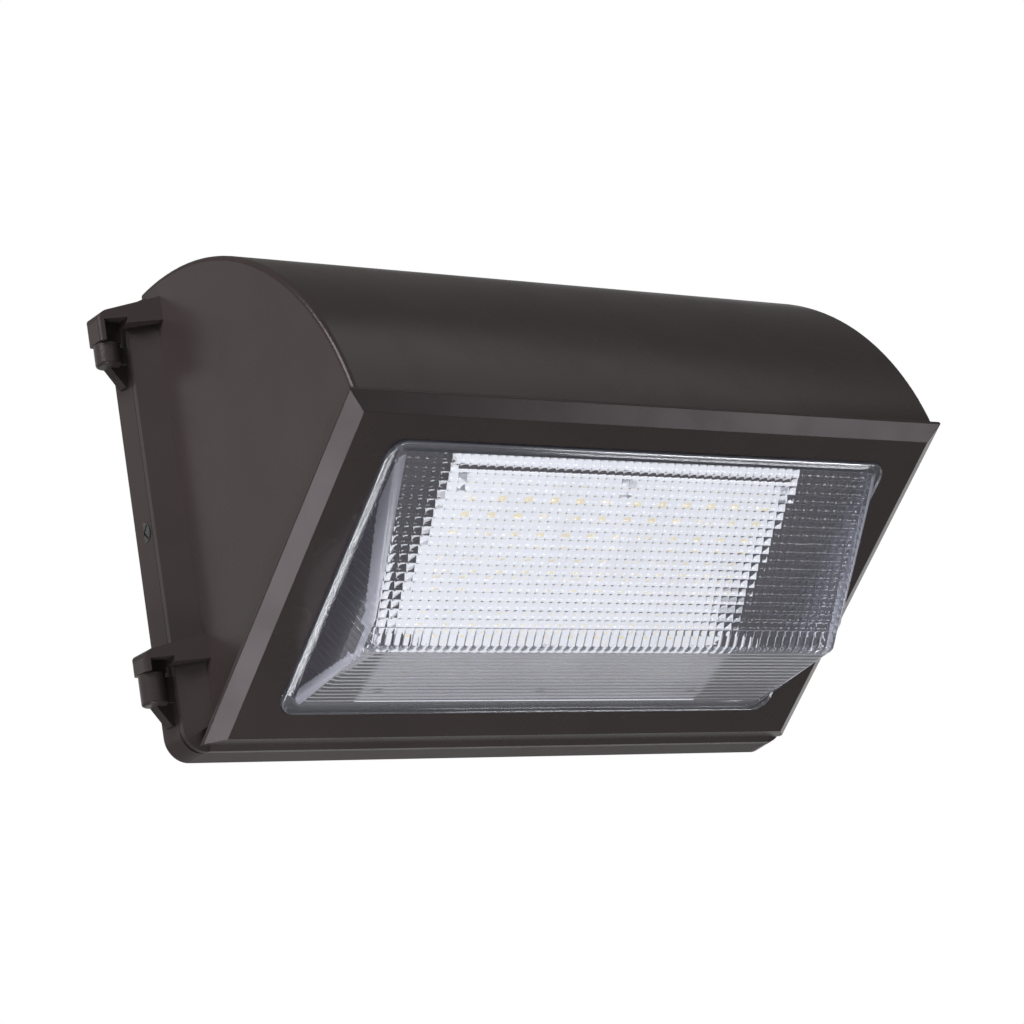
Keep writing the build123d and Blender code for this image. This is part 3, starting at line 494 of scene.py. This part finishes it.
def lens_outside(bm):
    """The wedge on its land, the rim with its round edge, and the flange."""
    xs, us = grid_lines(WEDGE_HALF, EDGE_HALF, WEDGE_START, WEDGE_END)
    heights = surface(xs, us, 0.0, OUTER_RIDGE_ROUND, OUTER_EDGE_ROUND)
    heights = np.maximum(heights, RIM_HEIGHT)
    heights[[0, -1]] = RIM_HEIGHT
    heights[:, [0, -1]] = RIM_HEIGHT
    loops = [border(height_field(bm, xs, us, heights))]
    shares = shares_of(xs, us)
    for step in range(RIM_STEPS, -1, -1):
        angle = radians(90 * step / RIM_STEPS)
        inset = RIM_ROUND * (1 - cos(angle))
        height = RIM_HEIGHT - RIM_ROUND * (1 - sin(angle))
        outline = (LENS_HALF - inset, LENS_TOP + inset, LENS_BOTTOM - inset, LENS_CORNER - inset)
        loops.append(rounded_loop(bm, shares, *outline, height))
    rim = (LENS_HALF, LENS_TOP, LENS_BOTTOM, LENS_CORNER)
    flange = (LENS_HALF + FLANGE, LENS_TOP - FLANGE, LENS_BOTTOM + FLANGE, FLANGE_CORNER)
    loops.append(rounded_loop(bm, shares, *rim, FLANGE_HIGH))
    loops.append(rounded_loop(bm, shares, *flange, FLANGE_HIGH))
    loops.append(rounded_loop(bm, shares, *flange, FLANGE_LOW))
    for first, second in zip(loops, loops[1:]):
        bridge(bm, first, second)
    return loops[-1]


def lens_inside(bm):
    """The wedge's hollow with its prisms, and the rim of the hollow at its foot."""
    half = WEDGE_HALF - WALL
    half_edge = EDGE_HALF - WALL
    start = WEDGE_START + WALL
    end = WEDGE_END - WALL
    xs, us = grid_lines(half, half_edge, start, end)
    relief = inner_relief(xs, us, half_edge, start, end)
    heights = surface(xs, us, WALL, INNER_RIDGE_ROUND, INNER_EDGE_ROUND, relief)
    rim = border(height_field(bm, xs, us, heights))
    foot = [bm.verts.new((vert.co.x, vert.co.y, FLANGE_LOW)) for vert in rim]
    bridge(bm, rim, foot)
    return foot


def is_bead(place):
    """Whether a place on the outside is by the rounded front or back edge of an end."""
    front, back, _ = wedge_planes(place.x, place.y, place.z)
    on_end = abs(place.x) > EDGE_HALF - BEAD_REACH and place.z > BEAD_START
    return on_end and (front > -BEAD_WIDTH or back > -BEAD_WIDTH_BEHIND)


def is_ribbed(place):
    """Whether a place on the inside is on the ribs behind the ridge, whose glass is darkened as
    painted shade.
    """
    behind = place.y > EDGE_ALONG + TEETH_END and abs(place.x) < EDGE_HALF - WALL
    return behind and place.z > RIM_HEIGHT


def on_slope(x, u, h):
    """A point of the slope's own millimetres, in the frame's metres."""
    depth = SLOPE_TOP_DEPTH - u * sin(SLOPE) + h * cos(SLOPE)
    height = SLOPE_TOP_HEIGHT - u * cos(SLOPE) - h * sin(SLOPE)
    return Vector((x, -depth, height)) * MM


def build_lens():
    bm = bmesh.new()
    outside = lens_outside(bm)
    for face in bm.faces:
        face.material_index = FROSTED if is_bead(face.calc_center_median()) else CLEAR
    outside_faces = len(bm.faces)
    bridge(bm, outside, lens_inside(bm))
    bm.faces.ensure_lookup_table()
    for face in bm.faces[outside_faces:]:
        # Faces on the ribs behind take the near-black glass: painted shade
        face.material_index = RIBBED if is_ribbed(face.calc_center_median()) else CLEAR
    for vert in bm.verts:
        vert.co = on_slope(*vert.co)
    bmesh.ops.recalc_face_normals(bm, faces=bm.faces)
    mesh = bpy.data.meshes.new("prism_lens")
    bm.to_mesh(mesh)
    bm.free()
    mesh.shade_smooth()
    mesh.set_sharp_from_angle(angle=SHARP_ANGLE)
    for material in LENS_MATERIALS:
        mesh.materials.append(material)
    thing = add_object("prism_lens", mesh)
    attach(thing, "door")
    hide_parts("lens")


# ---------------------------------------------------------- camera, light, floor
def add_camera():
    data = bpy.data.cameras.new("camera")
    data.sensor_width = SENSOR_WIDTH
    data.lens = CAMERA_LENS
    data.clip_start = CLIP_START
    camera = add_object("camera", data)
    back = -CAMERA_FORWARD.normalized()
    right = (CAMERA_RIGHT - back * CAMERA_RIGHT.dot(back)).normalized()
    up = back.cross(right)
    turn = Matrix((right, up, back)).transposed().to_4x4()
    camera.matrix_world = Matrix.Translation(CAMERA_PLACE) @ turn
    bpy.context.scene.camera = camera


def add_lamp(name, place, target, size, power):
    """A soft rectangular lamp, in metres and watts, that faces its target."""
    data = bpy.data.lights.new(name, "AREA")
    data.shape = "RECTANGLE"
    data.size, data.size_y = size
    data.energy = power
    lamp = add_object(name, data)
    lamp.location = place
    facing = Vector(target) - Vector(place)
    lamp.rotation_euler = facing.to_track_quat("-Z", "Y").to_euler()


def mirrored_rays(tree, path):
    """1 for what gloss or glass sees."""
    return greater(tree, path.outputs["Is Glossy Ray"], path.outputs["Is Transmission Ray"])


def add_world():
    """White to the camera. Gloss and glass see it white too, under a dim ceiling."""
    world = bpy.data.worlds.new("world")
    bpy.context.scene.world = world
    world.use_nodes = True
    tree = world.node_tree
    place = tree.nodes.new("ShaderNodeTexCoord")
    height = tree.nodes.new("ShaderNodeSeparateXYZ")
    tree.links.new(place.outputs["Generated"], height.inputs["Vector"])
    ceiling = map_range(tree, height.outputs["Z"], 1.0, CEILING_LIGHT, CEILING_START, CEILING_END)
    path = tree.nodes.new("ShaderNodeLightPath")
    light = map_range(tree, mirrored_rays(tree, path), WORLD_LIGHT, ceiling)
    strength = greater(tree, light, path.outputs["Is Camera Ray"])
    background = tree.nodes["Background"]
    tree.links.new(strength, background.inputs["Strength"])
    background.inputs["Color"].default_value = WHITE


def pale_floor():
    """A pale floor that keeps its shadows. Gloss and glass see it dimmer than the camera."""
    material = moulded("pale_floor", (0.72, 0.72, 0.72), (0.76, 0.76, 0.76), 0.8, FLOOR_GRAIN)
    tree = material.node_tree
    path = tree.nodes.new("ShaderNodeLightPath")
    mirrored = map_range(tree, mirrored_rays(tree, path), 0.0, FLOOR_MIRRORED)
    glow = map_range(tree, path.outputs["Is Camera Ray"], mirrored, FLOOR_GLOW)
    shader = tree.nodes["Principled BSDF"]
    tree.links.new(glow, shader.inputs["Emission Strength"])
    shader.inputs["Emission Color"].default_value = WHITE
    return material


def add_floor():
    signs = ((-1, -1), (1, -1), (1, 1), (-1, 1))
    corners = [(x * FLOOR_HALF, y * FLOOR_HALF, FLOOR_HEIGHT) for x, y in signs]
    mesh = bpy.data.meshes.new("floor")
    mesh.from_pydata(corners, [], [range(len(corners))])
    floor = add_object("floor", mesh)
    paint(floor, pale_floor())


for part in frame["record"]["subparts"]:
    paint(frame["nodes"][part["node"]], SLOT_MATERIALS[part["material_slot"]])
# The reflector sheet takes the white sheet with its painted glow, in place of its slot's plastic.
paint(frame["nodes"]["reflector_sheet"], WHITE_SHEET)
build_lens()

add_camera()
add_lamp("left", (-1.15, -0.3, 0.85), target=(-0.1, -0.1, 0), size=(0.7, 0.7), power=25)
add_lamp("low_left", (-0.6, -0.2, -1.05), target=(-0.18, -0.1, 0), size=(0.45, 0.45), power=8.5)
add_lamp("front", (1.05, -1.15, -0.37), target=(0.05, -0.18, 0), size=(0.45, 0.45), power=5)
add_lamp("top", (0.8, -1.0, 1.6), target=(0, -0.1, 0), size=(1.4, 1.0), power=6)
add_world()
add_floor()

bpy.context.scene.view_settings.view_transform = "Standard"
